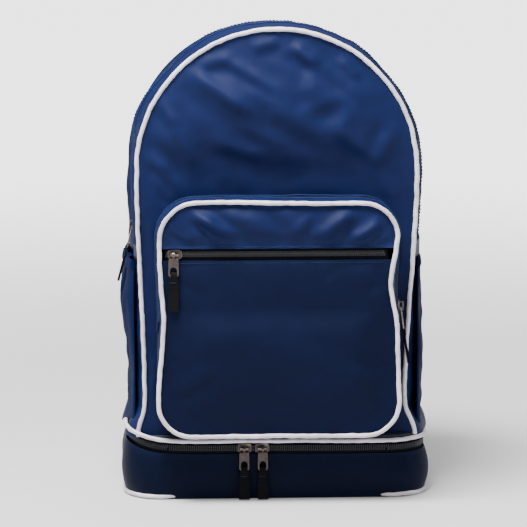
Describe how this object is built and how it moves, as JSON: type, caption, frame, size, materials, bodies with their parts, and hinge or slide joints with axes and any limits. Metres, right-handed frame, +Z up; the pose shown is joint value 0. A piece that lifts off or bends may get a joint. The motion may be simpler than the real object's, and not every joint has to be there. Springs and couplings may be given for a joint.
{
  "type": "school backpack",
  "caption": "Arched school backpack with a folding zipped front, boxed front pocket, shoe compartment, side pockets, padded straps, haul loop and white piping.",
  "frame": {"origin": "middle of the flat underside of the base panel, where the bag stands on the ground", "axes": "+Z up, the bag's front faces -Y, the wearer's back is at +Y, +X to the right as seen from the front"},
  "size_m": [0.3145, 0.2524, 0.4735],
  "materials": {
    "navy_cloth": "navy polyester with a soft satin sheen",
    "back_mesh": "black air mesh over foam",
    "base_cloth": "dark coated cloth",
    "lining": "plain woven lining",
    "white_piping": "white flexible piping, soft gloss",
    "zip_tape": "black woven tape with coil teeth",
    "gunmetal": "brown gunmetal plating, worn satin",
    "pull_ribbon": "black woven ribbon",
    "webbing": "black ribbed webbing",
    "adjuster_plastic": "black moulded plastic",
    "base_board_plastic": "stiff sheet"
  },
  "bodies": {
    "bag": {"back_panel": "back_mesh", "front_panel_lower": "navy_cloth", "rear_gusset": "navy_cloth", "main_zip_rear_tape": "zip_tape", "left_side_panel": "navy_cloth", "right_side_panel": "navy_cloth", "compartment_floor": "lining", "base_panel": "base_cloth", "base_board": "base_board_plastic", "base_wall": "navy_cloth", "base_zip_upper_tape": "zip_tape", "main_piping_left": "white_piping", "main_piping_right": "white_piping", "base_piping_upper": "white_piping", "base_piping_lower": "white_piping", "pocket_gusset": "navy_cloth", "pocket_zip_rear_tape": "zip_tape", "pocket_face_lower": "navy_cloth", "pocket_piping_lower": "white_piping", "left_side_pocket": "navy_cloth", "right_side_pocket": "navy_cloth", "strap_yoke": "navy_cloth", "strap_anchor_left": "navy_cloth", "strap_anchor_right": "navy_cloth", "lower_webbing_left": "webbing", "lower_webbing_right": "webbing"},
    "front_flap": {"front_flap_panel": "navy_cloth", "front_flap_gusset": "navy_cloth", "main_zip_flap_tape": "zip_tape", "main_piping_flap": "white_piping"},
    "pocket_flap": {"pocket_face_upper": "navy_cloth", "pocket_flap_gusset": "navy_cloth", "pocket_zip_flap_tape": "zip_tape", "pocket_piping_flap": "white_piping", "face_zip_tape": "zip_tape", "slip_pocket_lining": "lining"},
    "base_flap": {"base_flap_panel": "navy_cloth", "base_zip_flap_tape": "zip_tape"},
    "strap_left": {"strap_pad_left": "back_mesh", "strap_webbing_left": "webbing", "ladder_lock_left": "adjuster_plastic"},
    "strap_right": {"strap_pad_right": "back_mesh", "strap_webbing_right": "webbing", "ladder_lock_right": "adjuster_plastic"},
    "haul_loop": {"haul_handle": "webbing"},
    "main_slider": {"main_zip_slider": "gunmetal"},
    "main_pull": {"main_pull_tab": "gunmetal", "main_pull_ribbon": "pull_ribbon"},
    "pocket_slider": {"pocket_zip_slider": "gunmetal"},
    "pocket_pull": {"pocket_pull_tab": "gunmetal", "pocket_pull_ribbon": "pull_ribbon"},
    "face_slider": {"face_zip_slider": "gunmetal"},
    "face_pull": {"face_pull_tab": "gunmetal", "face_pull_ribbon": "pull_ribbon"},
    "base_left_slider": {"base_left_zip_slider": "gunmetal"},
    "base_left_pull": {"base_left_pull_tab": "gunmetal", "base_left_pull_ribbon": "pull_ribbon"},
    "base_right_slider": {"base_right_zip_slider": "gunmetal"},
    "base_right_pull": {"base_right_pull_tab": "gunmetal", "base_right_pull_ribbon": "pull_ribbon"}
  },
  "joints": [
    {"name": "front_flap_fold", "type": "hinge", "parent": "bag", "child": "front_flap", "pos_m": [0, -0.08, 0.312], "axis": [1, 0, 0], "range_deg": [0, 90]},
    {"name": "pocket_flap_fold", "type": "hinge", "parent": "bag", "child": "pocket_flap", "pos_m": [0, -0.123, 0.185], "axis": [1, 0, 0], "range_deg": [0, 90]},
    {"name": "base_flap_fold", "type": "hinge", "parent": "bag", "child": "base_flap", "pos_m": [0, -0.088, 0.006], "axis": [1, 0, 0], "range_deg": [0, 75]},
    {"name": "left_strap_swing", "type": "hinge", "parent": "bag", "child": "strap_left", "pos_m": [-0.046, 0.0836, 0.424], "axis": [1, 0, 0], "range_deg": [0, 50], "deforming": ["lower_webbing_left"]},
    {"name": "right_strap_swing", "type": "hinge", "parent": "bag", "child": "strap_right", "pos_m": [0.046, 0.0836, 0.424], "axis": [1, 0, 0], "range_deg": [0, 50], "deforming": ["lower_webbing_right"]},
    {"name": "haul_loop_swing", "type": "hinge", "parent": "bag", "child": "haul_loop", "pos_m": [0, 0.0796, 0.461], "axis": [1, 0, 0], "range_deg": [0, 170]},
    {"name": "main_zip_travel", "type": "slide", "parent": "bag", "child": "main_slider", "axis": [0, 0, 1], "range_m": [0, 0.052]},
    {"name": "pocket_zip_travel", "type": "slide", "parent": "bag", "child": "pocket_slider", "axis": [0, 0, 1], "range_m": [0, 0.06]},
    {"name": "face_zip_travel", "type": "slide", "parent": "pocket_flap", "child": "face_slider", "axis": [1, 0, 0], "range_m": [0, 0.198]},
    {"name": "base_left_zip_travel", "type": "slide", "parent": "base_flap", "child": "base_left_slider", "axis": [-1, 0, 0], "range_m": [0, 0.068]},
    {"name": "base_right_zip_travel", "type": "slide", "parent": "base_flap", "child": "base_right_slider", "axis": [1, 0, 0], "range_m": [0, 0.112]},
    {"name": "main_pull_swing", "type": "hinge", "parent": "main_slider", "child": "main_pull", "pos_m": [-0.1443, -0.022, 0.2682], "axis": [0, 1, 0], "range_deg": [0, 115]},
    {"name": "pocket_pull_swing", "type": "hinge", "parent": "pocket_slider", "child": "pocket_pull", "pos_m": [0.12255, -0.097, 0.1952], "axis": [0, -1, 0], "range_deg": [0, 120]},
    {"name": "face_pull_swing", "type": "hinge", "parent": "face_slider", "child": "face_pull", "pos_m": [-0.1042, -0.1218, 0.253], "axis": [-1, 0, 0], "range_deg": [0, 150]},
    {"name": "base_left_pull_swing", "type": "hinge", "parent": "base_left_slider", "child": "base_left_pull", "pos_m": [-0.0336, -0.09345, 0.0517], "axis": [-1, 0, 0], "range_deg": [0, 95]},
    {"name": "base_right_pull_swing", "type": "hinge", "parent": "base_right_slider", "child": "base_right_pull", "pos_m": [-0.0149, -0.09345, 0.0517], "axis": [-1, 0, 0], "range_deg": [0, 95]}
  ]
}
